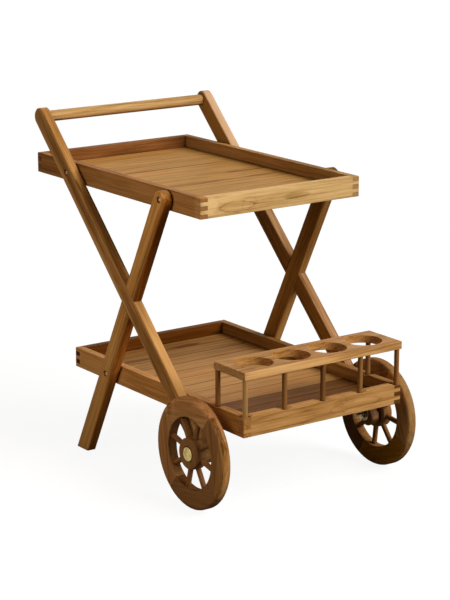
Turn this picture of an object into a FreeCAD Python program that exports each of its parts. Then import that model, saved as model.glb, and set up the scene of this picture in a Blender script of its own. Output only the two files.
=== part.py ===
import FreeCAD, Part
import math
import os
from FreeCAD import Vector

# Hostess trolley: two staggered slatted trays bolted between two X-shaped pairs
# of legs, a handle bar behind, spoked wooden wheels and a bottle rack in front.
#
# Millimetres. X runs across the trolley, +Y towards the handle, -Y towards the
# wheels and the bottle rack, Z up. The origin lies on the floor under the
# middle of the trolley's plan.

# ---------------------------------------------------------------- trays
tray_width = 470.0
tray_length = 735.0
tray_stagger = 170.0          # top tray's centre behind the bottom tray's
top_tray_base = 682.0         # lower edge of the top tray's rails above the floor
bottom_tray_base = 199.0
rail_height = 50.0
rail_thickness = 20.0
corner_chamfer = 1.5          # upright outer corners of a tray
rail_top_chamfer = 1.2        # eased top edges of the rails
finger_count = 5              # fingers of a corner joint, side rail at top and bottom
board_count = 12
board_level = 10.0            # underside of the floor boards above the rails' lower edge
board_thickness = 9.6
board_gap = 0.6
board_edge_chamfer = 0.7
groove_depth = 8.0            # grooves of the side rails that hold the boards' ends
groove_headroom = 0.4
board_end_clearance = 0.5
bearer_width = 40.0           # batten under the middle of the boards
bearer_thickness = 9.0

# ---------------------------------------------------------------- legs and handle
leg_gap = 3.5                 # spacers hold the legs clear of the rails
leg_thickness = 24.5
leg_width = 46.0
leg_edge_chamfer = 2.0
handle_y = 392.7
handle_height = 833.7
handle_radius = 14.0
handle_tenon_radius = 9.0
handle_tenon_length = 16.0
handle_leg_reach = 8.0        # lower end's arc centre beyond the wheel bolt
foot_leg_bolt_y = -151.0      # upper bolt of the foot leg
foot_leg_drop = 2.5           # upper end's arc centre below that bolt
foot_y = 211.7

# ---------------------------------------------------------------- bottle rack
rack_left_inset = 3.0         # board's left end inside the tray's outer face
rack_right_overhang = 1.5
rack_depth = 124.0
rack_thickness = 19.0
rack_gap = 86.0               # from the rails' top edge to the rack board
rack_corner_radius = 2.0
rack_edge_chamfer = 1.0
bottle_hole_radius = 46.0
bottle_hole_pitch = 109.0
bottle_hole_count = 4
front_post_count = 5
post_radius = 6.2
post_inset = 8.0              # post centres inside the tray's outer faces
post_left_extra = 2.0         # more than that at the left side
post_depth = 12.0             # posts' lower ends in the rails
post_tenon_radius = 5.0
post_tenon_length = 12.0      # turned upper ends in the rack board
scoop_width = 36.0            # shallow hollow in the rail's top edge round each post
scoop_depth = 4.0

# ---------------------------------------------------------------- wheels
wheel_y = -314.2
wheel_radius = 135.0
wheel_thickness = 26.0
rim_inner_radius = 88.0
rim_outer_chamfer = 3.5
rim_inner_chamfer = 1.5
felloe_count = 4
spoke_count = 8
spoke_radius = 6.5
spoke_rim_depth = 14.0
spoke_hub_depth = 13.0
left_spoke_angle = 30.5       # first spoke, from -Y towards +Z
right_spoke_angle = 38.5
hub_radius = 38.5
hub_length = 29.6
hub_chamfer = 3.0
cap_recess_radius = 19.0
cap_recess_depth = 3.0
bush_radius = 9.0
wheel_play = 0.4              # free space at each end of the hub

# ---------------------------------------------------------------- fasteners
wheel_bolt_radius = 6.0
wheel_bolt_overhang = 14.0    # bolt's end beyond its nut
cap_radius = 17.0
cap_rim = 3.5
cap_dome = 2.6
washer_radius = 16.0
washer_thickness = 3.0
wheel_nut_flats = 19.0
wheel_nut_height = 11.0
tray_bolt_level = 28.0        # bolts above the lower edge of the tray they hold
tray_bolt_radius = 3.0
tray_bolt_head_radius = 5.5
tray_bolt_head_height = 3.6
tray_bolt_tip_gap = 1.0       # bolt's end short of the insert's inner end
counterbore_radius = 8.0
counterbore_depth = 5.0
spacer_radius = 9.0           # rings on the tray bolts between leg and rail
insert_radius = 5.0
insert_length = 12.0

# ---------------------------------------------------------------- fits
running_clearance = 0.06      # bush round the wheel bolt
bolt_hole_clearance = 0.25
joint_gap = 0.05              # round glued dowels, pressed sleeves and threads

# ---------------------------------------------------------------- derived places
half_width = tray_width / 2
top_tray_y = tray_stagger / 2
bottom_tray_y = -tray_stagger / 2
leg_inner_x = half_width + leg_gap
leg_outer_x = leg_inner_x + leg_thickness
lap_x = leg_inner_x + leg_thickness / 2
handle_point = (handle_y, handle_height)
wheel_point = (wheel_y, wheel_radius)
foot_bolt_point = (foot_leg_bolt_y, top_tray_base + tray_bolt_level)
foot_point = (foot_y, 0.0)
bottom_rail_top = bottom_tray_base + rail_height
rack_front_y = bottom_tray_y - tray_length / 2
rack_underside = bottom_rail_top + rack_gap
rack_left_x = -half_width + rack_left_inset
rack_right_x = half_width + rack_right_overhang
post_left_x = -half_width + post_inset + post_left_extra
post_right_x = half_width - post_inset
post_foot_z = bottom_rail_top - scoop_depth - post_depth
scoop_radius = (scoop_width ** 2 / 4 + scoop_depth ** 2) / (2 * scoop_depth)
hub_inner_x = leg_outer_x + washer_thickness + wheel_play
hub_outer_x = hub_inner_x + hub_length
cap_seat_x = hub_outer_x - cap_recess_depth
AXIS_X = Vector(1, 0, 0)


# ---------------------------------------------------------------- basic solids
def box(x0, x1, y0, y1, z0, z1):
    return Part.makeBox(x1 - x0, y1 - y0, z1 - z0, Vector(x0, y0, z0))


def rod_x(radius, x0, x1, y, z):
    return Part.makeCylinder(radius, x1 - x0, Vector(x0, y, z), AXIS_X)


def rod_z(radius, z0, z1, x, y):
    return Part.makeCylinder(radius, z1 - z0, Vector(x, y, z0))


def arc(start, middle, end):
    return Part.Arc(start, middle, end).toShape()


def line(start, end):
    return Part.LineSegment(start, end).toShape()


def turned(points):
    """Solid of revolution round the X axis from (x, radius) points."""
    ring = [Vector(x, radius, 0) for x, radius in points]
    wire = Part.makePolygon(ring + [ring[0]])
    return Part.Face(wire).revolve(Vector(0, 0, 0), AXIS_X, 360)


def hexagon_prism(flats, x0, x1, y, z):
    corner_radius_of_hexagon = flats / math.sqrt(3)
    corners = []
    for step in range(7):
        angle = math.radians(60 * step)
        corners.append(Vector(x0, y + corner_radius_of_hexagon * math.cos(angle),
                              z + corner_radius_of_hexagon * math.sin(angle)))
    return Part.Face(Part.makePolygon(corners)).extrude(Vector(x1 - x0, 0, 0))


def upright_edges(shape):
    height = shape.BoundBox.ZLength
    return [edge for edge in shape.Edges if edge.BoundBox.ZLength > height / 2]


def edges_at_height(shape, z):
    return [edge for edge in shape.Edges
            if abs(edge.BoundBox.ZMin - z) < 0.01 and abs(edge.BoundBox.ZMax - z) < 0.01]


def mirrored(shape):
    return shape.mirror(Vector(0, 0, 0), AXIS_X)


# ---------------------------------------------------------------- trays
def tray_ring(base, centre_y):
    """All four rails as one frame with eased edges, before they are told apart."""
    front = centre_y - tray_length / 2
    rear = centre_y + tray_length / 2
    top = base + rail_height
    outer = box(-half_width, half_width, front, rear, base, top)
    outer = outer.makeChamfer(corner_chamfer, upright_edges(outer))
    outer = outer.makeChamfer(rail_top_chamfer, edges_at_height(outer, top))
    well = box(-half_width + rail_thickness, half_width - rail_thickness,
               front + rail_thickness, rear - rail_thickness, base - 1, top + 1)
    return outer.cut(well)


def corner_fingers(base, x0, x1, y0, y1, first):
    """Blocks of every second finger of a corner, from finger number first."""
    height = rail_height / finger_count
    blocks = []
    for number in range(first, finger_count, 2):
        z0 = base + number * height
        blocks.append(box(x0, x1, y0, y1, z0, z0 + height))
    return blocks


def side_rail_region(base, centre_y):
    """Space of the right side rail: its fingers are the even ones."""
    front = centre_y - tray_length / 2
    rear = centre_y + tray_length / 2
    inner = half_width - rail_thickness
    region = box(inner, half_width, front, rear, base, base + rail_height)
    notches = corner_fingers(base, inner, half_width, front, front + rail_thickness, 1)
    notches += corner_fingers(base, inner, half_width, rear - rail_thickness, rear, 1)
    return region.cut(notches)


def board_groove(base, centre_y):
    """Groove of the right side rail, which ends at the cross rails."""
    inner = half_width - rail_thickness
    half_length = tray_length / 2 - rail_thickness
    floor = base + board_level
    return box(inner, inner + groove_depth, centre_y - half_length, centre_y + half_length,
               floor, floor + board_thickness + groove_headroom)


def tray_bolt_places(base):
    """Y and Z of the bolts through a handle leg and a foot leg."""
    height = base + tray_bolt_level
    return [(height_on_line(handle_point, wheel_point, height), height),
            (height_on_line(foot_bolt_point, foot_point, height), height)]


def tray_rails(base, centre_y):
    """Front, rear, left and right rail of one tray."""
    ring = tray_ring(base, centre_y)
    right_region = side_rail_region(base, centre_y)
    left_region = mirrored(right_region)
    front = centre_y - tray_length / 2
    rear = centre_y + tray_length / 2
    top = base + rail_height
    right = ring.common(right_region).cut(board_groove(base, centre_y))
    for y, z in tray_bolt_places(base):
        right = right.cut(rod_x(insert_radius + joint_gap, half_width - insert_length,
                                half_width + 1, y, z))
    left = mirrored(right)
    ends = {}
    for name, y0, y1 in (("front", front, front + rail_thickness),
                         ("rear", rear - rail_thickness, rear)):
        block = box(-half_width, half_width, y0, y1, base, top)
        ends[name] = ring.common(block).cut([left_region, right_region])
    return {"front_rail": ends["front"], "rear_rail": ends["rear"],
            "left_rail": left, "right_rail": right}


def floor_board(base, y0, y1):
    """Board across the tray with eased upper edges, its ends in the grooves."""
    z0 = base + board_level
    z1 = z0 + board_thickness
    ease = board_edge_chamfer
    half_length = half_width - rail_thickness + groove_depth - board_end_clearance
    section = [(y0, z0), (y1, z0), (y1, z1 - ease), (y1 - ease, z1), (y0 + ease, z1),
               (y0, z1 - ease), (y0, z0)]
    wire = Part.makePolygon([Vector(-half_length, y, z) for y, z in section])
    return Part.Face(wire).extrude(Vector(2 * half_length, 0, 0))


def floor_boards(base, centre_y):
    """Boards from the front of the tray to its rear."""
    start = centre_y - tray_length / 2 + rail_thickness
    pitch = (tray_length - 2 * rail_thickness) / board_count
    boards = []
    for number in range(board_count):
        y0 = start + number * pitch + board_gap / 2
        boards.append(floor_board(base, y0, y0 + pitch - board_gap))
    return boards


def bearer(base, centre_y):
    """Batten under the boards from the front rail to the rear rail."""
    half_length = tray_length / 2 - rail_thickness
    z1 = base + board_level
    return box(-bearer_width / 2, bearer_width / 2, centre_y - half_length,
               centre_y + half_length, z1 - bearer_thickness, z1)


# ---------------------------------------------------------------- legs
def height_on_line(start, end, height):
    """Y where the line between two (y, z) points is at a height."""
    share = (height - start[1]) / (end[1] - start[1])
    return start[0] + share * (end[0] - start[0])


def beyond(point, other, distance):
    """Point on the line through two (y, z) points, further from the other one."""
    reach = math.hypot(point[0] - other[0], point[1] - other[1])
    share = 1 + distance / reach
    return (other[0] + (point[0] - other[0]) * share,
            other[1] + (point[1] - other[1]) * share)


def handle_leg_ends():
    """Centres of the handle leg's upper and lower arcs."""
    return handle_point, beyond(wheel_point, handle_point, handle_leg_reach)


def foot_leg_ends():
    """Centre of the foot leg's upper arc, and its middle on the floor."""
    return beyond(foot_bolt_point, foot_point, -foot_leg_drop), foot_point


def leg_profile(top, bottom, round_bottom, x):
    """Outline of a leg at X = x: round above, round or cut level at the floor below."""
    along = Vector(0, top[0] - bottom[0], top[1] - bottom[1])
    along.normalize()
    across = Vector(0, -along.z, along.y) * (leg_width / 2)
    upper = Vector(x, top[0], top[1])
    lower = Vector(x, bottom[0], bottom[1])
    tip = upper + along * (leg_width / 2)
    corners = [lower + across, lower - across]
    if not round_bottom:
        corners = [point - along * ((point.z - bottom[1]) / along.z) for point in corners]
    edges = [line(corners[0], upper + across), arc(upper + across, tip, upper - across),
             line(upper - across, corners[1])]
    if round_bottom:
        heel = lower - along * (leg_width / 2)
        edges.append(arc(corners[1], heel, corners[0]))
    else:
        edges.append(line(corners[1], corners[0]))
    return Part.Face(Part.Wire(edges))


def leg_bar(top, bottom, round_bottom, x0, x1):
    return leg_profile(top, bottom, round_bottom, x0).extrude(Vector(x1 - x0, 0, 0))


def leg_blank(top, bottom, round_bottom):
    """Full leg of the right side with eased edges round both broad faces."""
    bar = leg_bar(top, bottom, round_bottom, leg_inner_x, leg_outer_x)
    rims = [edge for edge in bar.Edges
            if edge.BoundBox.XLength < 0.01 and edge.BoundBox.ZMax > 1.0]
    return bar.makeChamfer(leg_edge_chamfer, rims)


def tray_bolt_bore(y, z):
    hole = rod_x(tray_bolt_radius + bolt_hole_clearance, leg_inner_x - 1, leg_outer_x + 1, y, z)
    recess = rod_x(counterbore_radius, leg_outer_x - counterbore_depth, leg_outer_x + 1, y, z)
    return hole.fuse(recess)


def handle_leg():
    """Right handle leg, which runs through on the outer face of the crossing."""
    leg = leg_blank(*handle_leg_ends(), True)
    leg = leg.cut(leg_bar(*foot_leg_ends(), False, leg_inner_x, lap_x))
    for base in (top_tray_base, bottom_tray_base):
        y, z = tray_bolt_places(base)[0]
        leg = leg.cut(tray_bolt_bore(y, z))
    leg = leg.cut(rod_x(wheel_bolt_radius + bolt_hole_clearance, leg_inner_x - 1,
                        leg_outer_x + 1, *wheel_point))
    return leg.cut(rod_x(handle_tenon_radius + joint_gap, leg_inner_x - 1,
                         leg_inner_x + handle_tenon_length, *handle_point))


def foot_leg():
    """Right foot leg, which runs through on the inner face of the crossing."""
    leg = leg_blank(*foot_leg_ends(), False)
    leg = leg.cut(leg_bar(*handle_leg_ends(), True, lap_x, leg_outer_x))
    for base in (top_tray_base, bottom_tray_base):
        y, z = tray_bolt_places(base)[1]
        leg = leg.cut(tray_bolt_bore(y, z))
    return leg


def handle_bar():
    """Round grip between the legs with a turned tenon at each end."""
    tenon_end = leg_inner_x + handle_tenon_length
    grip = rod_x(handle_radius, -leg_inner_x, leg_inner_x, *handle_point)
    core = rod_x(handle_tenon_radius, -tenon_end, tenon_end, *handle_point)
    return grip.fuse(core).removeSplitter()


# ---------------------------------------------------------------- bottle rack
def front_post_places():
    step = (post_right_x - post_left_x) / (front_post_count - 1)
    return [(post_left_x + number * step, rack_front_y + post_inset)
            for number in range(front_post_count)]


def rear_post_places():
    y = rack_front_y + rack_depth - post_inset
    return [(post_left_x, y), (post_right_x, y)]


def post(x, y):
    """Round post, let into the rail whole and into the rack board by a tenon."""
    shaft = rod_z(post_radius, post_foot_z, rack_underside, x, y)
    tenon = rod_z(post_tenon_radius, rack_underside, rack_underside + post_tenon_length, x, y)
    return shaft.fuse(tenon).removeSplitter()


def post_socket(x, y):
    """Bore of a rail for the foot of a post."""
    return rod_z(post_radius + joint_gap, post_foot_z, rack_underside, x, y)


def tenon_socket(x, y):
    """Blind bore under the rack board for the tenon of a post."""
    return rod_z(post_tenon_radius + joint_gap, rack_underside - 1,
                 rack_underside + post_tenon_length, x, y)


def scoop_along_x(x):
    """Hollow across the front rail, centred on a post."""
    z = bottom_rail_top - scoop_depth + scoop_radius
    start = Vector(x, rack_front_y - 1, z)
    return Part.makeCylinder(scoop_radius, rail_thickness + 2, start, Vector(0, 1, 0))


def scoop_along_y(x, y):
    """Hollow across a side rail, centred on a post."""
    z = bottom_rail_top - scoop_depth + scoop_radius
    inner = half_width - rail_thickness - 1
    outer = half_width + 1
    if x < 0:
        return rod_x(scoop_radius, -outer, -inner, y, z)
    return rod_x(scoop_radius, inner, outer, y, z)


def rack_seats():
    """What the posts take out of the bottom tray's rails."""
    cuts = [scoop_along_x(x) for x, y in front_post_places()]
    side_places = rear_post_places() + [front_post_places()[0], front_post_places()[-1]]
    cuts += [scoop_along_y(x, y) for x, y in side_places]
    cuts += [post_socket(x, y) for x, y in front_post_places() + rear_post_places()]
    return cuts


def bottle_hole_places():
    middle = (rack_left_x + rack_right_x) / 2
    first = middle - bottle_hole_pitch * (bottle_hole_count - 1) / 2
    return [(first + number * bottle_hole_pitch, rack_front_y + rack_depth / 2)
            for number in range(bottle_hole_count)]


def bottle_rack_board():
    """Holed board with eased edges and blind sockets for the posts."""
    top = rack_underside + rack_thickness
    board = box(rack_left_x, rack_right_x, rack_front_y, rack_front_y + rack_depth,
                rack_underside, top)
    board = board.makeFillet(rack_corner_radius, upright_edges(board))
    rims = edges_at_height(board, top) + edges_at_height(board, rack_underside)
    board = board.makeChamfer(rack_edge_chamfer, rims)
    holes = [rod_z(bottle_hole_radius, rack_underside - 1, top + 1, x, y)
             for x, y in bottle_hole_places()]
    sockets = [tenon_socket(x, y) for x, y in front_post_places() + rear_post_places()]
    return board.cut(holes + sockets)


# ---------------------------------------------------------------- wheels
def spun(shape, angle):
    """Turn a shape made along -Y so that it points at an angle from -Y towards +Z."""
    turned_shape = shape.copy()
    turned_shape.rotate(Vector(0, 0, 0), AXIS_X, -angle)
    return turned_shape


def on_axle(shape):
    """Move a wheel piece, made round the X axis, to the right wheel's place."""
    placed = shape.copy()
    placed.translate(Vector(hub_inner_x, *wheel_point))
    return placed


def rim_section():
    """Section of the rim in the X-Y plane, chamfered at its four arrises."""
    outer = rim_outer_chamfer
    inner = rim_inner_chamfer
    depth = wheel_thickness
    outline = [(inner, rim_inner_radius), (depth - inner, rim_inner_radius),
               (depth, rim_inner_radius + inner), (depth, wheel_radius - outer),
               (depth - outer, wheel_radius), (outer, wheel_radius),
               (0, wheel_radius - outer), (0, rim_inner_radius + inner)]
    ring = [Vector(x, -radius, 0) for x, radius in outline]
    return Part.Face(Part.makePolygon(ring + [ring[0]]))


def spoke_rod(radius, angle):
    """Round rod from its seat in the hub to its seat in the rim."""
    start = hub_radius - spoke_hub_depth
    length = rim_inner_radius + spoke_rim_depth - start
    rod = Part.makeCylinder(radius, length, Vector(wheel_thickness / 2, -start, 0),
                            Vector(0, -1, 0))
    return spun(rod, angle)


def spoke_angles(first):
    return [first + number * 360 / spoke_count for number in range(spoke_count)]


def rim(first_angle):
    """Felloes with butt joints midway between spokes, bored for the spokes."""
    sockets = [spoke_rod(spoke_radius + joint_gap, angle) for angle in spoke_angles(first_angle)]
    sweep = 360 / felloe_count
    joint = first_angle + 180 / spoke_count
    felloes = []
    for number in range(felloe_count):
        section = spun(rim_section(), joint + number * sweep)
        felloe = section.revolve(Vector(0, 0, 0), AXIS_X, -sweep)
        felloes.append(on_axle(felloe.cut(sockets)))
    return Part.makeCompound(felloes)


def hub(first_angle):
    """Turned hub with a recess for the cap, bored for the bush and the spokes."""
    ease = hub_chamfer
    outline = [(0, bush_radius + joint_gap), (0, hub_radius - ease), (ease, hub_radius),
               (hub_length - ease, hub_radius), (hub_length, hub_radius - ease),
               (hub_length, cap_recess_radius),
               (hub_length - cap_recess_depth, cap_recess_radius),
               (hub_length - cap_recess_depth, bush_radius + joint_gap)]
    sockets = [spoke_rod(spoke_radius + joint_gap, angle) for angle in spoke_angles(first_angle)]
    return on_axle(turned(outline).cut(sockets))


def spokes(first_angle):
    return Part.makeCompound([on_axle(spoke_rod(spoke_radius, angle))
                              for angle in spoke_angles(first_angle)])


def bush():
    """Sleeve in the hub that runs on the wheel bolt."""
    bore = wheel_bolt_radius + running_clearance
    length = hub_length - cap_recess_depth
    return on_axle(turned([(0, bore), (0, bush_radius), (length, bush_radius), (length, bore)]))


# ---------------------------------------------------------------- fasteners
def wheel_bolt():
    """Domed cap outside the hub, shank through hub and leg, end beyond the nut."""
    seat = cap_seat_x + wheel_play
    crown = seat + cap_rim
    tip = leg_inner_x - washer_thickness - wheel_nut_height - wheel_bolt_overhang
    head = rod_x(cap_radius, seat, crown, *wheel_point)
    ball_radius = (cap_radius ** 2 + cap_dome ** 2) / (2 * cap_dome)
    ball_centre = Vector(crown + cap_dome - ball_radius, *wheel_point)
    dome = Part.makeSphere(ball_radius, ball_centre).common(
        rod_x(cap_radius, crown, crown + cap_dome + 1, *wheel_point))
    shank = rod_x(wheel_bolt_radius, tip, seat, *wheel_point)
    return head.fuse([dome, shank]).removeSplitter()


def washer(x):
    """Washer from X = x outwards."""
    ring = rod_x(washer_radius, x, x + washer_thickness, *wheel_point)
    return ring.cut(rod_x(wheel_bolt_radius + bolt_hole_clearance, x - 1,
                          x + washer_thickness + 1, *wheel_point))


def wheel_nut():
    x1 = leg_inner_x - washer_thickness
    x0 = x1 - wheel_nut_height
    nut = hexagon_prism(wheel_nut_flats, x0, x1, *wheel_point)
    return nut.cut(rod_x(wheel_bolt_radius + joint_gap, x0 - 1, x1 + 1, *wheel_point))


def tray_bolt(y, z):
    """Round-headed bolt seated in the leg's counterbore."""
    seat = leg_outer_x - counterbore_depth
    tip = half_width - insert_length + tray_bolt_tip_gap
    head = rod_x(tray_bolt_head_radius, seat, seat + tray_bolt_head_height, y, z)
    return head.fuse(rod_x(tray_bolt_radius, tip, seat, y, z)).removeSplitter()


def tray_insert(y, z):
    """Threaded sleeve let into the side rail, flush with its outer face."""
    sleeve = rod_x(insert_radius, half_width - insert_length, half_width, y, z)
    return sleeve.cut(rod_x(tray_bolt_radius + joint_gap, half_width - insert_length - 1,
                            half_width + 1, y, z))


def tray_spacer(y, z):
    """Ring on a tray bolt between the side rail and the leg."""
    ring = rod_x(spacer_radius, half_width, leg_inner_x, y, z)
    return ring.cut(rod_x(tray_bolt_radius + bolt_hole_clearance, half_width - 1,
                          leg_inner_x + 1, y, z))


def both_sides(shapes):
    return Part.makeCompound([mirrored(shape) for shape in shapes] + list(shapes))


# ---------------------------------------------------------------- assembly
def tray_nodes(name, base, centre_y, seats):
    """Rails, boards and bearer of one tray, with the seats cut from its rails."""
    nodes = {}
    for part_name, rail in tray_rails(base, centre_y).items():
        nodes[name + "_" + part_name] = rail.cut(seats) if seats else rail
    for number, board in enumerate(floor_boards(base, centre_y), 1):
        nodes["%s_board_%02d" % (name, number)] = board
    nodes[name + "_bearer"] = bearer(base, centre_y)
    return nodes


def wheel_nodes(side, first_angle, place):
    return {side + "_wheel_rim": place(rim(first_angle)),
            side + "_wheel_spokes": place(spokes(first_angle)),
            side + "_wheel_hub": place(hub(first_angle)),
            side + "_wheel_bush": place(bush())}


def frame_nodes():
    right_handle_leg = handle_leg()
    right_foot_leg = foot_leg()
    return {"left_handle_leg": mirrored(right_handle_leg), "right_handle_leg": right_handle_leg,
            "left_foot_leg": mirrored(right_foot_leg), "right_foot_leg": right_foot_leg,
            "handle_bar": handle_bar()}


def rack_nodes():
    nodes = {"bottle_rack_board": bottle_rack_board()}
    for number, (x, y) in enumerate(front_post_places(), 1):
        nodes["rack_front_post_%d" % number] = post(x, y)
    for side, (x, y) in zip(("left", "right"), rear_post_places()):
        nodes["rack_rear_post_" + side] = post(x, y)
    return nodes


def fastener_nodes():
    places = tray_bolt_places(top_tray_base) + tray_bolt_places(bottom_tray_base)
    washers = [washer(leg_inner_x - washer_thickness), washer(leg_outer_x)]
    bolts = [tray_bolt(y, z) for y, z in places] + [tray_spacer(y, z) for y, z in places]
    return {"wheel_bolts": both_sides([wheel_bolt()]),
            "wheel_bolt_washers": both_sides(washers),
            "wheel_bolt_nuts": both_sides([wheel_nut()]),
            "tray_bolts": both_sides(bolts),
            "tray_bolt_inserts": both_sides([tray_insert(y, z) for y, z in places])}


def trolley():
    nodes = frame_nodes()
    nodes.update(tray_nodes("top_tray", top_tray_base, top_tray_y, []))
    nodes.update(tray_nodes("bottom_tray", bottom_tray_base, bottom_tray_y, rack_seats()))
    nodes.update(rack_nodes())
    nodes.update(wheel_nodes("left", left_spoke_angle, mirrored))
    nodes.update(wheel_nodes("right", right_spoke_angle, lambda shape: shape))
    nodes.update(fastener_nodes())
    return nodes


os.makedirs("parts", exist_ok=True)
for node_name, node_shape in trolley().items():
    node_shape.exportStep("parts/%s.step" % node_name)
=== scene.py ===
import math
import random

import bpy
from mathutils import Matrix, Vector

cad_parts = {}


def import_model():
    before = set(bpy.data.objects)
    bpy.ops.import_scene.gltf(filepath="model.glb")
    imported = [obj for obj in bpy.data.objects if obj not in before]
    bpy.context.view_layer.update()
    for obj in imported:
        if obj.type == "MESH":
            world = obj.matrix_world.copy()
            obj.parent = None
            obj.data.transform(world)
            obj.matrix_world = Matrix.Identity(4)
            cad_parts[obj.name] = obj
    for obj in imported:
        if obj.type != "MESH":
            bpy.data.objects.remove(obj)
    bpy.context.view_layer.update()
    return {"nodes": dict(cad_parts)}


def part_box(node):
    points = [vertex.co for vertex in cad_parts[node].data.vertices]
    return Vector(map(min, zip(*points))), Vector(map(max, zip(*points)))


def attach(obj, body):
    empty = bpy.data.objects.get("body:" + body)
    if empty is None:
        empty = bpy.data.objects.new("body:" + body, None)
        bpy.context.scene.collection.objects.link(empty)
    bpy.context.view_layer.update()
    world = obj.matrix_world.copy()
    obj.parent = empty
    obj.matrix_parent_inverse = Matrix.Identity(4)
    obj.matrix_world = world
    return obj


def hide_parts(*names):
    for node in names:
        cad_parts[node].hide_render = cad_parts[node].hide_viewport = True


# Hostess trolley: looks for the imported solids. Metres, in the CAD frame: X across, -Y to the
# bottle rack and the wheels, +Y to the handle, Z up, the floor at Z = 0.

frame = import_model()
NODES = frame["nodes"]

# ------------------------------------------------------------------ places shared with the CAD
WHEEL_CENTRE = Vector((0.0, -0.3142, 0.135))
WHEEL_INNER_X = 0.2664
WHEEL_THICKNESS = 0.026
RIM_RADIUS = 0.135
RIM_INNER_RADIUS = 0.088
FELLOES = 4
SPOKES = 8
FIRST_SPOKE = {"left": 30.5, "right": 38.5}
HANDLE_POINT = Vector((0.0, 0.3927, 0.8337))
FOOT_TOP = Vector((0.0, -0.151, 0.710))
FOOT_POINT = Vector((0.0, 0.2117, 0.0))
HALF_WIDTH = 0.235
HALF_LENGTH = 0.3675
LEG_INNER_X = 0.2385
LEG_OUTER_X = 0.263
RAIL_THICKNESS = 0.020
HUB_OUTER_X = 0.2960
CAP_RECESS_DEPTH = 0.003
WHEEL_PLAY = 0.0004
BOLT_RADIUS = 0.006
BOLT_OVERHANG = 0.014
WASHER_THICKNESS = 0.003
NUT_HEIGHT = 0.011
NUT_OUTER_X = LEG_INNER_X - WASHER_THICKNESS
NUT_INNER_X = NUT_OUTER_X - NUT_HEIGHT
TRAY_BASES = (0.682, 0.199)
TRAY_BOLT_LEVEL = 0.028
COUNTERBORE_DEPTH = 0.005

X_AXIS = Vector((1.0, 0.0, 0.0))
Y_AXIS = Vector((0.0, 1.0, 0.0))
Z_AXIS = Vector((0.0, 0.0, 1.0))
SIDES = {"left": -1.0, "right": 1.0}
WHITE = (1.0, 1.0, 1.0, 1.0)


# ------------------------------------------------------------------ shader nodes
class Shader:
    """The node tree of a material, with short calls for what the looks use. The world, which
    has such a tree too, may stand in the material's place."""

    def __init__(self, material, output="ShaderNodeOutputMaterial"):
        material.use_nodes = True
        self.material = material
        self.tree = material.node_tree
        self.tree.nodes.clear()
        self.output = self.add(output)

    def add(self, kind, inputs=None, **settings):
        node = self.tree.nodes.new(kind)
        for name, value in settings.items():
            setattr(node, name, value)
        for socket, value in (inputs or {}).items():
            self.put(node.inputs[socket], value)
        return node

    def put(self, socket, value):
        if isinstance(value, bpy.types.NodeSocket):
            self.tree.links.new(value, socket)
        else:
            socket.default_value = value

    def end(self, shader):
        """Join the last shader to the output, and hand back the material."""
        self.put(self.output.inputs["Surface"], shader.outputs[0])
        return self.material

    def surface(self, colour, rough, normal, metallic=0.0, shine=0.5):
        """Opaque material of that colour, roughness and bumps."""
        shader = self.add("ShaderNodeBsdfPrincipled",
                          {"Base Color": colour, "Roughness": rough, "Normal": normal})
        shader.inputs["Metallic"].default_value = metallic
        shader.inputs["Specular IOR Level"].default_value = shine
        return self.end(shader)

    def place(self):
        """Point being shaded, in metres in the CAD frame."""
        return self.add("ShaderNodeTexCoord").outputs["Object"]

    def facing(self):
        """Direction in which the surface faces."""
        return self.add("ShaderNodeTexCoord").outputs["Normal"]

    def from_axle(self):
        """Distance in metres from the line through both wheel bolts."""
        offset = self.vector("SUBTRACT", self.place(), tuple(WHEEL_CENTRE))
        return self.vector("LENGTH", self.vector("MULTIPLY", offset, (0.0, 1.0, 1.0)))

    def math(self, operation, *values):
        node = self.add("ShaderNodeMath", dict(enumerate(values)), operation=operation)
        return node.outputs[0]

    def vector(self, operation, *values):
        node = self.add("ShaderNodeVectorMath", dict(enumerate(values)), operation=operation)
        return node.outputs["Value" if operation in ("DOT_PRODUCT", "LENGTH") else "Vector"]

    def combine(self, x, y, z):
        return self.add("ShaderNodeCombineXYZ", {0: x, 1: y, 2: z}).outputs[0]

    def noise(self, vector, detail=2.0, roughness=0.5, scale=1.0):
        node = self.add("ShaderNodeTexNoise", {"Vector": vector, "Scale": scale, "Detail": detail,
                                               "Roughness": roughness, "Distortion": 0.0})
        return node.outputs["Fac"]

    def ease(self, value, low, high, start=0.0, end=1.0):
        """Smooth step of value from start at low to end at high."""
        node = self.add("ShaderNodeMapRange", {0: value, 1: low, 2: high, 3: start, 4: end},
                        interpolation_type="SMOOTHSTEP")
        return node.outputs[0]

    def mix(self, share, first, second, blend="MIX"):
        node = self.add("ShaderNodeMix", data_type="RGBA", blend_type=blend)
        self.put(node.inputs[0], share)
        self.put(node.inputs[6], first)
        self.put(node.inputs[7], second)
        return node.outputs[2]

    def tint(self, share, colour, shade):
        """Colour multiplied by a shade, as far as share says."""
        return self.mix(share, colour, (*shade, 1.0), "MULTIPLY")

    def ramp(self, value, stops):
        node = self.add("ShaderNodeValToRGB", {0: value})
        elements = node.color_ramp.elements
        while len(elements) < len(stops):
            elements.new(0.5)
        for element, (place, colour) in zip(elements, stops):
            element.position = place
            element.color = (*colour, 1.0)
        return node.outputs[0]


# ------------------------------------------------------------------ wood
# Shades of a wood's mean colour, from its darkest streak to its palest, and their places.
SHADES = ((0.05, (0.32, 0.25, 0.15)), (0.34, (0.68, 0.62, 0.51)), (0.60, (1.00, 1.00, 1.00)),
          (0.95, (1.30, 1.40, 1.60)))
MEAN_VALUE = 0.64
BRIGHTEST = 0.92
BRIGHTEST_WORN = 0.9
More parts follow.
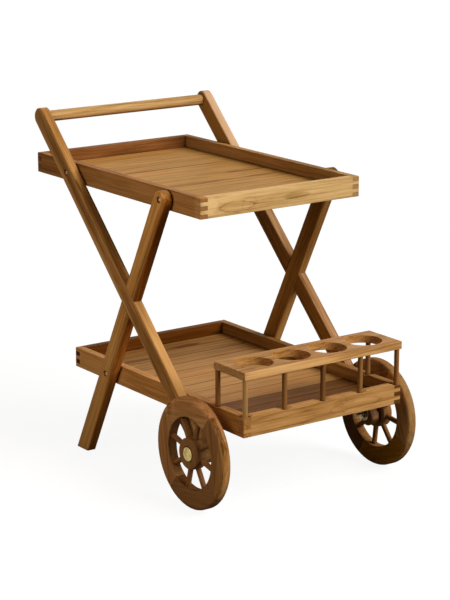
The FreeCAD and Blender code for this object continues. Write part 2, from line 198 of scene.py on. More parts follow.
# Tints that multiply a wood's colour; the board-side and crevice tints are painted shade.
REDDISH = (1.02, 0.84, 0.70)
END_GRAIN = (0.40, 0.31, 0.27)
SEAM_DIRT = (0.20, 0.13, 0.09)
BOARD_SIDE_SHADE = (0.26, 0.18, 0.11)
CREVICE_SHADE = (0.36, 0.26, 0.17)
WORN_PALE = (1.30, 1.42, 1.60)
FINGER = 0.010
SEAM = 0.00045
ARRIS_RADIUS = 0.0022
NOISE_REACH = 40


def grain_coordinates(sh, along, through, centre):
    """Distances in metres along the grain, across it in the broad face, and through the piece."""
    local = sh.vector("SUBTRACT", sh.place(), tuple(centre))
    across = through.cross(along)
    return [sh.vector("DOT_PRODUCT", local, tuple(axis)) for axis in (along, across, through)]


def spoke_coordinates(sh, centre, first_angle):
    """As grain_coordinates, for round spokes that all point away from the wheel's centre."""
    spoke_offset = 0.37
    local = sh.vector("SUBTRACT", sh.place(), tuple(centre))
    parts = sh.add("ShaderNodeSeparateXYZ", {0: local}).outputs
    radius = sh.vector("LENGTH", sh.combine(0.0, parts[1], parts[2]))
    turn = sh.math("ARCTAN2", parts[2], sh.math("MULTIPLY", parts[1], -1.0))
    step = 2 * math.pi / SPOKES
    steps = sh.math("DIVIDE", sh.math("SUBTRACT", turn, math.radians(first_angle)), step)
    number = sh.math("ROUND", steps)
    aside = sh.math("MULTIPLY", sh.math("SUBTRACT", steps, number), step)
    number = sh.math("WRAP", number, float(SPOKES), 0.0)
    along = sh.math("MULTIPLY_ADD", number, spoke_offset, radius)
    across = sh.math("MULTIPLY", aside, radius)
    return [along, across, parts[0]]


class Grain:
    """Places along (u), across (v) and through (w) a wood, with noise that follows the grain."""

    def __init__(self, sh, places, seed):
        self.sh = sh
        self.u, self.v, self.w = places
        pick = random.Random(seed)
        self.shift = [pick.uniform(-NOISE_REACH, NOISE_REACH) for _ in range(3)]

    def noise(self, along, across, **settings):
        """Noise from 0 to 1 that changes so many times a metre along and across the grain."""
        sh = self.sh
        scaled = [sh.math("MULTIPLY_ADD", place, often, shift) for place, often, shift
                  in zip((self.u, self.v, self.w), (along, across, across), self.shift)]
        return sh.noise(sh.combine(*scaled), **settings)

    def wave(self, along, across, **settings):
        """As noise, but round 0."""
        return self.sh.math("SUBTRACT", self.noise(along, across, **settings), 0.5)


def oval(sh, u, v, place, size):
    """Distance from the middle of an oval on the broad face, 1 on its outline."""
    du = sh.math("DIVIDE", sh.math("SUBTRACT", u, place[0]), size[0])
    dv = sh.math("DIVIDE", sh.math("SUBTRACT", v, place[1]), size[1])
    return sh.vector("LENGTH", sh.combine(du, dv, 0.0))


def blob(sh, u, v, place, size, noise, rough=0.5):
    """1 inside a soft-edged oval of the broad face, 0 outside; noise frays its edge."""
    far = oval(sh, u, v, place, size)
    frayed = sh.math("MULTIPLY_ADD", sh.math("SUBTRACT", noise, 0.5), rough * 2, far)
    return sh.ease(frayed, 1.3, 0.7)


def finger_seams(sh, u, v, half, end_grain_outside):
    """1 on the joint lines of a corner's five fingers; the outer ones may be end grain."""
    far = sh.math("ABSOLUTE", u)
    high = sh.math("ABSOLUTE", v)
    in_zone = sh.ease(far, half - RAIL_THICKNESS - SEAM, half - RAIL_THICKNESS)
    lines = 0.0
    for border in (FINGER / 2, FINGER * 1.5):
        near = sh.math("ABSOLUTE", sh.math("SUBTRACT", high, border))
        lines = sh.math("MAXIMUM", sh.ease(near, SEAM * 1.5, SEAM * 0.5), lines)
    between = sh.math("SUBTRACT", sh.ease(high, FINGER / 2 - SEAM, FINGER / 2),
                      sh.ease(high, FINGER * 1.5, FINGER * 1.5 + SEAM))
    if end_grain_outside:
        between = sh.math("SUBTRACT", 1.0, between)
    at_root = sh.math("ABSOLUTE", sh.math("SUBTRACT", far, half - RAIL_THICKNESS))
    root = sh.math("MULTIPLY", sh.ease(at_root, SEAM * 1.6, SEAM * 0.6), between)
    return sh.math("MAXIMUM", sh.math("MULTIPLY", lines, in_zone), root)


def growth_rings(grain, ring, slope, pith, knots):
    """Dark late wood, 0 to 1, in rings round a wandering pith line that bends past the knots."""
    sh = grain.sh
    wander = grain.wave(3.2, 9.0, detail=2.0)
    flutter = grain.wave(16.0, 60.0, detail=3.0)
    bend = sh.math("MULTIPLY_ADD", wander, 0.040, sh.math("MULTIPLY", grain.u, slope))
    bent_v = sh.math("ADD", sh.math("SUBTRACT", grain.v, pith[0]), bend)
    bent_w = sh.math("MULTIPLY_ADD", wander, 0.012, sh.math("SUBTRACT", grain.w, pith[1]))
    for place, size in knots:
        far = oval(sh, grain.u, grain.v, place, (size * 2.2, size))
        fading = sh.math("EXPONENT", sh.math("MULTIPLY", far, -1.0))
        bent_v = sh.math("ADD", bent_v, sh.math("MULTIPLY", fading, size * 1.6))
    radius = sh.vector("LENGTH", sh.combine(bent_v, bent_w, 0.0))
    phase = sh.math("MULTIPLY_ADD", flutter, 0.55, sh.math("DIVIDE", radius, ring))
    saw = sh.math("FRACT", phase)
    number = sh.math("FLOOR", phase)
    weight = sh.add("ShaderNodeTexWhiteNoise", {"W": number}, noise_dimensions="1D").outputs["Value"]
    late = sh.math("SUBTRACT", sh.ease(saw, 0.40, 0.90), sh.ease(saw, 0.90, 1.0))
    return sh.math("MULTIPLY", late, sh.math("MULTIPLY_ADD", weight, 0.85, 0.15))


def add_figure(grain, value, fray, broad_face, blobs, loops, edge_marks, knots):
    """Value with the listed marks: soft ovals, looped lines, marks on an edge, knots."""
    sh = grain.sh
    for place, size, amount in blobs:
        inside = blob(sh, grain.u, grain.v, place, size, fray)
        value = sh.math("MULTIPLY_ADD", inside, amount, value)
    for place, size, amount in loops:
        far = oval(sh, grain.u, grain.v, place, size)
        far = sh.math("MULTIPLY_ADD", sh.math("SUBTRACT", fray, 0.5), 0.9, far)
        line = sh.ease(sh.math("ABSOLUTE", sh.math("SUBTRACT", far, 1.0)), 0.17, 0.02)
        value = sh.math("MULTIPLY_ADD", line, amount, value)
    for place, size, amount in edge_marks:
        on_edge = sh.ease(broad_face, 0.8, 0.5)
        inside = sh.math("MULTIPLY", blob(sh, grain.u, grain.w, place, size, fray), on_edge)
        value = sh.math("MULTIPLY_ADD", inside, amount, value)
    for place, size in knots:
        core = blob(sh, grain.u, grain.v, place, (size * 0.75, size * 0.45), fray, rough=0.3)
        value = sh.math("MULTIPLY_ADD", core, -0.42, value)
    return value


def past_sapwood_line(grain, fray, level, tilt):
    """1 on the outer side of a straight line across the broad face, 0 on the inner side."""
    sh, edge = grain.sh, 0.0007
    past = sh.math("SUBTRACT", grain.v, sh.math("MULTIPLY_ADD", grain.u, tilt, level))
    past = sh.math("MULTIPLY_ADD", sh.math("SUBTRACT", fray, 0.5), 0.004, past)
    return sh.ease(past, -edge, edge)


def in_holes(grain, broad_face, half_u, half_v):
    """1 on upright walls that lie well within a board's outline, which get painted shade."""
    sh, edge = grain.sh, 0.002
    within_u = sh.ease(sh.math("ABSOLUTE", grain.u), half_u, half_u - edge)
    within_v = sh.ease(sh.math("ABSOLUTE", grain.v), half_v, half_v - edge)
    return sh.math("MULTIPLY", sh.ease(broad_face, 0.6, 0.3), sh.math("MULTIPLY", within_u, within_v))


def add_joint_lines_and_shade(grain, colour, fingers, half_width, seam_and_crevice_shade):
    """Joint lines are dark; the sides of boards and inner corners get painted shade, where seams and
    corners lie.
    """
    sh = grain.sh
    if fingers is not None:
        seams = finger_seams(sh, grain.u, grain.v, *fingers)
        colour = sh.tint(sh.math("MULTIPLY", seams, 0.80), colour, SEAM_DIRT)
    if half_width is not None:
        # painted shade along the sides of boards, where the seams between them lie
        side = sh.ease(sh.math("ABSOLUTE", grain.v), half_width - 0.0026, half_width - 0.0008)
        colour = sh.tint(sh.math("MULTIPLY", side, 0.55 * seam_and_crevice_shade), colour, BOARD_SIDE_SHADE)
    # painted shade: ambient occlusion darkens inner corners and seams, where shade falls
    open_air = sh.add("ShaderNodeAmbientOcclusion", {"Distance": 0.009}, samples=6).outputs["AO"]
    crevice_shade_mask = sh.ease(open_air, 0.85, 0.30)
    return sh.tint(sh.math("MULTIPLY", crevice_shade_mask, 0.80 * seam_and_crevice_shade), colour, CREVICE_SHADE)


def add_wear_and_highlight(sh, colour, base, rounded, fray, worn, worn_highlit_ring):
    """Arrises that hands touch are worn pale; a line round a rim is pale too, worn and a painted
    highlight where its arris catches light.
    """
    flat = sh.add("ShaderNodeNewGeometry").outputs["Normal"]
    arris = sh.ease(sh.vector("DOT_PRODUCT", rounded, flat), 0.985, 0.90)
    pale = [min(BRIGHTEST_WORN, part * share) for part, share in zip(base, WORN_PALE)] + [1.0]
    colour = sh.mix(sh.math("MULTIPLY", arris, worn), colour, pale)
    # pale line round the rim: wear and a painted highlight on its arris
    if worn_highlit_ring is not None:
        off_line = sh.math("ABSOLUTE", sh.math("SUBTRACT", sh.from_axle(), worn_highlit_ring))
        line = sh.math("MULTIPLY", sh.ease(off_line, 0.0016, 0.0003), sh.ease(fray, 0.30, 0.62))
        colour = sh.mix(sh.math("MULTIPLY", line, 0.75), colour, pale)
    return colour


def wood(name, along, through, centre, seed, base, tone=0.0, ring=0.0045, slope=0.02,
         pith=(0.0, 0.06), rings=1.0, streaks=1.0, broad=1.0, blobs=(), knots=(), loops=(),
         coordinates=None, half_width=None, fingers=None, end_shade=0.6, worn=0.14, drift=1.0,
         faces=(), seam_and_crevice_shade=1.0, hole_wall_shade=None, sapwood=None, edge_marks=(), worn_highlit_ring=None,
         shine=0.02):
    """Oiled hardwood: growth rings round a pith beside the piece, streaks, pores and end grain."""
    sh = Shader(bpy.data.materials.new(name))
    places = coordinates(sh) if coordinates else grain_coordinates(sh, along, through, centre)
    grain = Grain(sh, places, seed)
    facing = sh.facing()
    broad_face = sh.math("ABSOLUTE", sh.vector("DOT_PRODUCT", facing, tuple(through)))
    fray = grain.noise(22.0, 120.0, detail=3.0)

    # one value, from the darkest streak to the palest, gives the colour
    late = growth_rings(grain, ring, slope, pith, knots)
    streak = grain.wave(4.5, 150.0, detail=4.0, roughness=0.6)
    fibre = grain.wave(55.0, 1500.0, detail=2.0)
    pore = sh.ease(grain.noise(95.0, 2100.0, detail=1.0), 0.60, 0.74)
    value = MEAN_VALUE + tone
    layers = ((late, -0.26 * rings), (grain.wave(1.5, 42.0, detail=2.0), 0.55 * broad),
              (streak, 0.92 * streaks), (grain.wave(11.0, 430.0, detail=2.0), 0.78 * streaks),
              (fibre, 0.22), (pore, -0.12))
    for layer, amount in layers:
        value = sh.math("MULTIPLY_ADD", layer, amount, value)
    value = add_figure(grain, value, fray, broad_face, blobs, loops, edge_marks, knots)
    shades = [(place, [min(BRIGHTEST, share * part) for share, part in zip(shade, base)])
              for place, shade in SHADES]
    colour = sh.ramp(value, shades)

    # the hue drifts slowly between golden and reddish along the piece
    hue = sh.ease(grain.noise(1.7, 20.0, detail=2.0), 0.40, 0.68, 0.0, 0.45 * drift)
    colour = sh.tint(hue, colour, REDDISH)

    # a part of a board may be paler sapwood
    if sapwood is not None:
        level, tilt, tint = sapwood
        colour = sh.tint(past_sapwood_line(grain, fray, level, tilt), colour, tint)
    # painted light and shade: the sides that face each way are made lighter or darker, as lit or
    # shaded
    for direction, tint in faces:
        painted_light_share = sh.ease(sh.vector("DOT_PRODUCT", facing, tuple(direction)), 0.45, 0.80)
        colour = sh.tint(painted_light_share, colour, tint)
    # painted shade on the walls of holes
    if hole_wall_shade is not None:
        half_u, half_v, tint = hole_wall_shade
        colour = sh.tint(in_holes(grain, broad_face, half_u, half_v), colour, tint)

    # end grain is darker and duller
    if coordinates is None:
        end = sh.math("ABSOLUTE", sh.vector("DOT_PRODUCT", facing, tuple(along)))
        end = sh.ease(end, 0.72, 0.96)
        colour = sh.tint(sh.math("MULTIPLY", end, end_shade), colour, END_GRAIN)

    rounded = sh.add("ShaderNodeBevel", {"Radius": ARRIS_RADIUS}, samples=6).outputs[0]
    colour = add_joint_lines_and_shade(grain, colour, fingers, half_width, seam_and_crevice_shade)
    colour = add_wear_and_highlight(sh, colour, base, rounded, fray, worn, worn_highlit_ring)
    rough = sh.math("MULTIPLY_ADD", streak, 0.25, sh.math("MULTIPLY_ADD", fibre, 0.22, 0.62))
    height = sh.math("MULTIPLY_ADD", pore, -1.3, sh.math("MULTIPLY_ADD", fibre, 0.9, late))
    bump = sh.add("ShaderNodeBump", {"Strength": 0.30, "Distance": 0.00030, "Height": height,
                                     "Normal": rounded})
    return sh.surface(colour, rough, bump.outputs[0], shine=shine)


# ------------------------------------------------------------------ brass
TARNISH = 0.50
SPECKS = (0.24, 0.14, 0.05, 1.0)
THREAD_SHADE = (0.13, 0.09, 0.045, 1.0)


def thread_shade_mask(sh):
    """1 in the thread and on the end of a wheel bolt, inside the leg, where shade is painted; 0 on its
    cap.
    """
    within_leg, edge = 0.250, 0.001
    facing_end = sh.math("ABSOLUTE", sh.vector("DOT_PRODUCT", sh.facing(), tuple(X_AXIS)))
    from_middle = sh.math("ABSOLUTE", sh.vector("DOT_PRODUCT", sh.place(), tuple(X_AXIS)))
    below_crest = sh.ease(sh.from_axle(), BOLT_RADIUS - 0.0002, BOLT_RADIUS - 0.0008)
    dark = sh.math("MAXIMUM", below_crest, sh.ease(facing_end, 0.75, 0.92))
    return sh.math("MULTIPLY", dark, sh.ease(from_middle, within_leg + edge, within_leg - edge))


def brass(name, seed, tint=(0.70, 0.52, 0.22), dull=0.34, shaded_thread=False):
    """Lacquered brass with faint tarnish, specks and, on a wheel bolt, painted shade on the thread and
    end.
    """
    sh = Shader(bpy.data.materials.new(name))
    place = sh.vector("ADD", sh.place(), (seed * 0.37, seed * 0.11, seed * 0.23))
    cloud = sh.noise(place, scale=95.0, detail=4.0)
    speck = sh.noise(place, scale=900.0, detail=2.0)
    tarnished = tuple(part * TARNISH for part in tint)
    colour = sh.mix(sh.ease(cloud, 0.40, 0.72), (*tint, 1.0), (*tarnished, 1.0))
    colour = sh.mix(sh.ease(speck, 0.62, 0.78, 0.0, 0.5), colour, SPECKS)
    if shaded_thread:
        # painted shade on the thread and the bolt's end inside the leg
        colour = sh.mix(thread_shade_mask(sh), colour, THREAD_SHADE)
    rough = sh.math("MULTIPLY_ADD", cloud, 0.22, dull - 0.08)
    height = sh.math("MULTIPLY_ADD", speck, 0.4, cloud)
    bump = sh.add("ShaderNodeBump", {"Strength": 0.18, "Distance": 0.0002, "Height": height})
    return sh.surface(colour, rough, bump.outputs[0], metallic=1.0)


# ------------------------------------------------------------------ meshes
def mesh_object(name, points, faces, material, smooth_angle=35.0):
    mesh = bpy.data.meshes.new(name)
    mesh.from_pydata([tuple(p) for p in points], [], faces)
    mesh.validate()
    piece = bpy.data.objects.new(name, mesh)
    bpy.context.scene.collection.objects.link(piece)
    mesh.materials.append(material)
    mesh.shade_smooth()
    mesh.set_sharp_from_angle(angle=math.radians(smooth_angle))
    return piece


def rows_to_mesh(rows, closed=True, cap_ends=False):
    """Faces over a grid of points, each row joined to the next, and each row to itself."""
    points = [p for row in rows for p in row]
    wide = len(rows[0])
    faces = []
    for r in range(len(rows) - 1):
        for c in range(wide if closed else wide - 1):
            a = r * wide + c
            b = r * wide + (c + 1) % wide
            faces.append((a, b, b + wide, a + wide))
    if cap_ends:
        faces.append(tuple(reversed(range(wide))))
        last = (len(rows) - 1) * wide
        faces.append(tuple(range(last, last + wide)))
    return points, faces


def corner_arc(cx, cr, radius, start, end, steps):
    """Points (x, r) on a quarter turn of a section's corner, angles in degrees."""
    result = []
    for step in range(steps + 1):
        angle = math.radians(start + (end - start) * step / steps)
        result.append((cx + radius * math.cos(angle), cr + radius * math.sin(angle)))
    return result


SANDED_REACH = 0.0072
SANDED_WAVE = 0.0010


def rim_section(reach, depth=0.0046, start=45.0, steps=7):
    """Section (x, radius) of a felloe, its outer edges sanded to a bulged flat of that reach."""
    inner, wide = 0.0018, WHEEL_THICKNESS
    low = RIM_INNER_RADIUS + inner
    points = corner_arc(inner, low, inner, 180, 270, 9)
    points += corner_arc(wide - inner, low, inner, 270, 360, 9)
    tall = reach / (1.0 - math.sin(math.radians(start)))
    wide_axis = depth / math.cos(math.radians(start))
    flat = []
    for step in range(steps + 1):
        angle = math.radians(start + (90.0 - start) * step / steps)
        flat.append((wide - depth + wide_axis * math.cos(angle),
                     RIM_RADIUS - tall * (1.0 - math.sin(angle))))
    points += flat
    points += [(wide - x, r) for x, r in reversed(flat)]
    return points


def felloe(name, side, first, sweep, material):
    """A quarter of the rim, its ends eased by a small step in."""
    sign = SIDES[side]
    wave = random.Random(name).uniform(0.0, 6.0)
    middle_x = WHEEL_THICKNESS / 2
    middle_r = (RIM_RADIUS + RIM_INNER_RADIUS) / 2
    half_thick, half_tall = 0.013, 0.023
    ease, gap, steps = 0.0005, 0.00012, 40
    ends = [(0.0, ease), (ease / 3, ease / 3), (ease, 0.0)]
    stations = [(first, gap + along, shrink) for along, shrink in ends]
    stations += [(first + sweep * step / steps, 0.0, 0.0) for step in range(1, steps)]
    stations += [(first + sweep, -gap - along, shrink) for along, shrink in reversed(ends)]
    rows = []
    for angle, along, shrink in stations:
        row = []
        sanded = SANDED_REACH + SANDED_WAVE * math.sin(math.radians(angle) * 3.0 + wave)
        for x, r in rim_section(sanded):
            px = middle_x + (x - middle_x) * (1.0 - shrink / half_thick)
            pr = middle_r + (r - middle_r) * (1.0 - shrink / half_tall)
            turn = math.radians(angle) + along / pr
            row.append(Vector((sign * (WHEEL_INNER_X + px),
                               WHEEL_CENTRE.y - pr * math.cos(turn),
                               WHEEL_CENTRE.z + pr * math.sin(turn))))
        rows.append(row if sign > 0 else row[::-1])
    points, faces = rows_to_mesh(rows, cap_ends=True)
    piece = mesh_object(name, points, faces, material, 12.0)
    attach(piece, side + "_wheel")
    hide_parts(side + "_wheel_rim")
    return piece


def turned(name, outline, centre, sign, material, around=64, radius_at=None, capped=True,
           smooth_angle=40.0):
    """Piece of revolution along X from (x, r) points; radius_at may vary r round the axis."""
    rows = []
    for x, r in outline:
        row = []
        for step in range(around):
            angle = 2 * math.pi * step / around
            reach = radius_at(x, r, angle) if radius_at else r
            row.append(Vector((sign * x, centre.y + reach * math.cos(angle),
                               centre.z + reach * math.sin(angle))))
        rows.append(row if sign < 0 else row[::-1])
    points, faces = rows_to_mesh(rows, cap_ends=capped)
    return mesh_object(name, points, faces, material, smooth_angle)


def thread_radius(start, end, pitch, depth):
    """Radius that follows a screw thread between two places along the axis."""
    def radius(x, r, angle):
        if not start <= x <= end or r < 0.003:
            return r
        run_out = min(1.0, (x - start) / pitch, (end - x) / pitch)
        turn = (x / pitch - angle / (2 * math.pi)) % 1.0
        return r - depth * run_out * abs(2 * turn - 1)
    return radius


# ------------------------------------------------------------------ camera and light
# The camera fitted to the photo: degrees, metres, millimetres of lens and pixels of shift.
CAMERA_AZIMUTH = -35.66
CAMERA_ELEVATION = 14.22
CAMERA_DISTANCE = 5.06295
CAMERA_TARGET = Vector((0.00865, -0.05298, 0.42416))
CAMERA_LENS = 122.06
CAMERA_SHIFT = (-3.44, -6.61)
PHOTO_HEIGHT = 600


def direction(azimuth, elevation):
    """Unit vector in degrees, azimuth 0 in front of the object and 90 at its right side."""
    a, e = math.radians(azimuth), math.radians(elevation)
    return Vector((math.sin(a) * math.cos(e), -math.cos(a) * math.cos(e), math.sin(e)))


def set_up(data, place, back):
    """Camera or lamp at a place, turned so that it points away from back."""
    thing = bpy.data.objects.new(data.name, data)
    bpy.context.scene.collection.objects.link(thing)
    thing.location = place
    thing.rotation_mode = "QUATERNION"
    thing.rotation_quaternion = back.to_track_quat("Z", "Y")
    return thing


def camera():
    data = bpy.data.cameras.new("camera")
    data.lens = CAMERA_LENS
    data.sensor_width = 36.0
    data.shift_x = CAMERA_SHIFT[0] / PHOTO_HEIGHT
    data.shift_y = CAMERA_SHIFT[1] / PHOTO_HEIGHT
    data.clip_end = 50.0
    back = direction(CAMERA_AZIMUTH, CAMERA_ELEVATION)
    bpy.context.scene.camera = set_up(data, CAMERA_TARGET + back * CAMERA_DISTANCE, back)


def sun(name, azimuth, elevation, strength, softness, colour):
    """Soft distant lamp; softness is its width in degrees."""
    data = bpy.data.lights.new(name, "SUN")
    data.energy = strength * math.pi
    data.angle = math.radians(softness)
    data.color = colour
    set_up(data, (0.0, 0.0, 0.0), direction(azimuth, elevation))


def panel(name, place, target, size, power, colour):
    """Square soft lamp near the object, which fades with distance."""
    data = bpy.data.lights.new(name, "AREA")
    data.shape = "SQUARE"
    data.size = size
    data.energy = power
    data.color = colour
    set_up(data, place, Vector(place) - Vector(target))


def seen_directly(sh):
    """1 for what the camera sees, straight or by a mirror or glass; 0 for light that falls."""
    path = sh.add("ShaderNodeLightPath").outputs
    straight = sh.math("MAXIMUM", path["Is Camera Ray"], path["Is Glossy Ray"])
    return sh.math("MAXIMUM", straight, path["Is Transmission Ray"])


def world():
    """Plain white to the eye, a dim warm light to the object."""
    studio = bpy.data.worlds.new("studio")
    bpy.context.scene.world = studio
    sh = Shader(studio, "ShaderNodeOutputWorld")
    ambient = sh.add("ShaderNodeBackground", {"Color": (1.0, 0.88, 0.68, 1.0), "Strength": 0.08})
    backdrop = sh.add("ShaderNodeBackground", {"Color": WHITE, "Strength": 1.0})
    sh.end(sh.add("ShaderNodeMixShader", {0: seen_directly(sh), 1: ambient.outputs[0],
                                          2: backdrop.outputs[0]}))


def floor():
    """White ground that takes a soft shadow and throws little light back."""
    sh = Shader(bpy.data.materials.new("floor_white"))
    matt = sh.add("ShaderNodeBsdfDiffuse", {"Color": (0.12, 0.12, 0.12, 1.0)})
    strength = sh.math("MULTIPLY", seen_directly(sh), 0.91)
    glow = sh.add("ShaderNodeEmission", {"Color": WHITE, "Strength": strength})
    sh.end(sh.add("ShaderNodeAddShader", {0: matt.outputs[0], 1: glow.outputs[0]}))
    reach = 30.0
    rows = [[Vector((x, y, 0.0)) for x in (-reach, reach)] for y in (-reach, reach)]
    points, faces = rows_to_mesh(rows, closed=False)
    mesh_object("floor", points, faces, sh.material)


# ------------------------------------------------------------------ dressing the nodes
def dress(node, material):
    slots = NODES[node].data.materials
    slots.clear()
    slots.append(material)


def middle(node):
    low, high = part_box(node)
    return (low + high) / 2


# Marks on a wood lie in metres along and across its grain, from the piece's middle. Blobs, loops
# and edge marks are (place, size, amount), where a negative amount is darker; knots are (place,
# size); faces are (direction, tint), painted light or shade on the sides that face that way.
TOP_BOARD = (0.462, 0.241, 0.068)
BOTTOM_BOARD = (0.410, 0.204, 0.062)
DARK_BOARD = (0.176, 0.073, 0.018)
# On the bottom tray the tones also paint light and shade: the middle boards, in the light that falls
# between the trays, are lighter, and the rear boards under the top tray darker.
BOARD_TONES = {
    "top_tray": (0.00, -0.02, 0.03, 0.02, -0.05, 0.00, 0.04, 0.02, -0.02, 0.00, -0.02, -0.04),
    "bottom_tray": (0.00, 0.00, 0.04, 0.18, 0.21, 0.20, 0.16, 0.12, 0.07, -0.02, -0.07, -0.09),
}
BOARD_BLOBS = {
    "top_tray_board_04": [((0.190, 0.014), (0.060, 0.010), -0.10),
                          ((0.02, 0.020), (0.16, 0.007), -0.08)],
    "top_tray_board_05": [((-0.07, 0.002), (0.120, 0.012), -0.20),
                          ((0.16, 0.000), (0.06, 0.012), -0.24)],
    "top_tray_board_06": [((0.150, 0.014), (0.070, 0.010), -0.38),
                          ((0.070, 0.024), (0.06, 0.005), -0.22)],
    "top_tray_board_07": [((0.195, -0.018), (0.035, 0.006), -0.14)],
    "top_tray_board_08": [((-0.03, 0.0285), (0.21, 0.0030), -0.60)],
    "top_tray_board_09": [((-0.03, -0.0285), (0.21, 0.0026), -0.60)],
    "bottom_tray_board_11": [((-0.135, -0.004), (0.075, 0.011), -0.34),
                             ((-0.05, -0.012), (0.05, 0.005), -0.14)],
    "bottom_tray_board_12": [((0.065, -0.018), (0.042, 0.010), -0.34),
                             ((-0.12, 0.004), (0.08, 0.008), -0.12)],
}
DARK_BOARDS = 3


def dress_boards():
    for tray, tones in BOARD_TONES.items():
        for number, tone in enumerate(tones, 1):
            node = "%s_board_%02d" % (tray, number)
            pick = random.Random(node)
            low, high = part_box(node)
            base = TOP_BOARD if tray == "top_tray" else BOTTOM_BOARD
            if tray == "bottom_tray" and number <= DARK_BOARDS:
                base = DARK_BOARD
            # the top tray's seams and corners get less painted shade than the bottom tray's
            material = wood(
                node + "_wood", X_AXIS, Z_AXIS, middle(node), node, base,
                tone=tone, ring=pick.uniform(0.0045, 0.0080), slope=pick.uniform(-0.05, 0.05),
                pith=(pick.uniform(-0.03, 0.03), -pick.uniform(0.02, 0.07)), rings=0.8,
                blobs=BOARD_BLOBS.get(node, ()), half_width=(high.y - low.y) / 2, worn=0.06,
                seam_and_crevice_shade=0.45 if tray == "top_tray" else 1.0)
            dress(node, material)


RAIL_LOOKS = {
    "top_tray_front_rail": dict(
        base=(0.628, 0.385, 0.150), ring=0.0075, slope=-0.03, pith=(0.010, 0.052), rings=0.5,
        drift=0.2,
        blobs=[((-0.208, -0.004), (0.020, 0.019), 0.28), ((-0.090, 0.009), (0.105, 0.014), -0.09),
               ((0.045, 0.000), (0.040, 0.008), -0.30), ((0.15, 0.004), (0.09, 0.018), 0.08),
               ((-0.05, -0.019), (0.20, 0.006), 0.14)],
        loops=[((-0.130, 0.006), (0.046, 0.0115), -0.22), ((-0.095, 0.004), (0.020, 0.016), -0.09)]),
    "bottom_tray_front_rail": dict(
        base=(0.466, 0.232, 0.072), ring=0.0085, slope=0.05, pith=(-0.004, 0.045), rings=0.9,
        drift=0.3,
        blobs=[((-0.19, 0.0), (0.05, 0.03), -0.05), ((0.16, 0.004), (0.12, 0.020), 0.20),
               ((0.060, -0.006), (0.030, 0.012), -0.14), ((-0.08, -0.006), (0.09, 0.005), -0.16)],
        loops=[((0.095, 0.004), (0.070, 0.0150), -0.15), ((0.058, -0.014), (0.009, 0.013), -0.14)]),
    "top_tray_rear_rail": dict(
        base=(0.235, 0.094, 0.027), ring=0.0060, rings=1.2, streaks=1.3, end_shade=0.2,
        blobs=[((-0.16, 0.010), (0.09, 0.006), 0.22), ((-0.05, 0.016), (0.12, 0.004), -0.16)]),
    "bottom_tray_rear_rail": dict(
        base=(0.155, 0.050, 0.006), ring=0.0060, rings=1.2, streaks=1.3, end_shade=0.75),
    "top_tray_left_rail": dict(
        base=(0.350, 0.160, 0.046), ring=0.0070, rings=0.5, end_shade=0.35,
        blobs=[((0.30, 0.0), (0.16, 0.05), -0.13), ((-0.12, 0.008), (0.06, 0.012), 0.10),
               ((-0.368, 0.0), (0.024, 0.05), 0.26), ((0.08, 0.026), (0.15, 0.005), -0.16)]),
    "top_tray_right_rail": dict(
        base=(0.375, 0.200, 0.063), ring=0.0070, rings=0.6, end_shade=0.10,
        blobs=[((-0.325, 0.0), (0.045, 0.05), 0.12), ((-0.368, 0.0), (0.022, 0.05), 0.24),
               ((0.22, 0.0), (0.14, 0.05), 0.10), ((-0.18, 0.0), (0.12, 0.05), -0.18)],
        knots=[((0.115, 0.006), 0.0035), ((0.060, -0.004), 0.0025)]),
    "bottom_tray_left_rail": dict(
        base=(0.535, 0.254, 0.074), ring=0.0070, rings=0.6, end_shade=0.15,
        blobs=[((0.29, 0.0), (0.16, 0.05), 0.22), ((0.02, 0.0), (0.14, 0.05), -0.10),
               ((-0.30, 0.0), (0.13, 0.05), -0.24)]),
    "bottom_tray_right_rail": dict(
        base=(0.280, 0.132, 0.032), ring=0.0070, rings=0.6, end_shade=0.95),
}


def dress_rails():
    for node, look in RAIL_LOOKS.items():
        look = dict(look)
        across = node.endswith(("front_rail", "rear_rail"))
        along, through = (X_AXIS, Y_AXIS) if across else (Y_AXIS, X_AXIS)
        fingers = (HALF_WIDTH, True) if across else (HALF_LENGTH, False)
        dress(node, wood(node + "_wood", along, through, middle(node), node, look.pop("base"),
                         fingers=fingers, **look))


HANDLE_LEG_LINE = (HANDLE_POINT - WHEEL_CENTRE).normalized()
FOOT_LEG_LINE = (FOOT_TOP - FOOT_POINT).normalized()
HANDLE_LEG_FRONT = X_AXIS.cross(HANDLE_LEG_LINE)
FOOT_LEG_FRONT = X_AXIS.cross(FOOT_LEG_LINE)
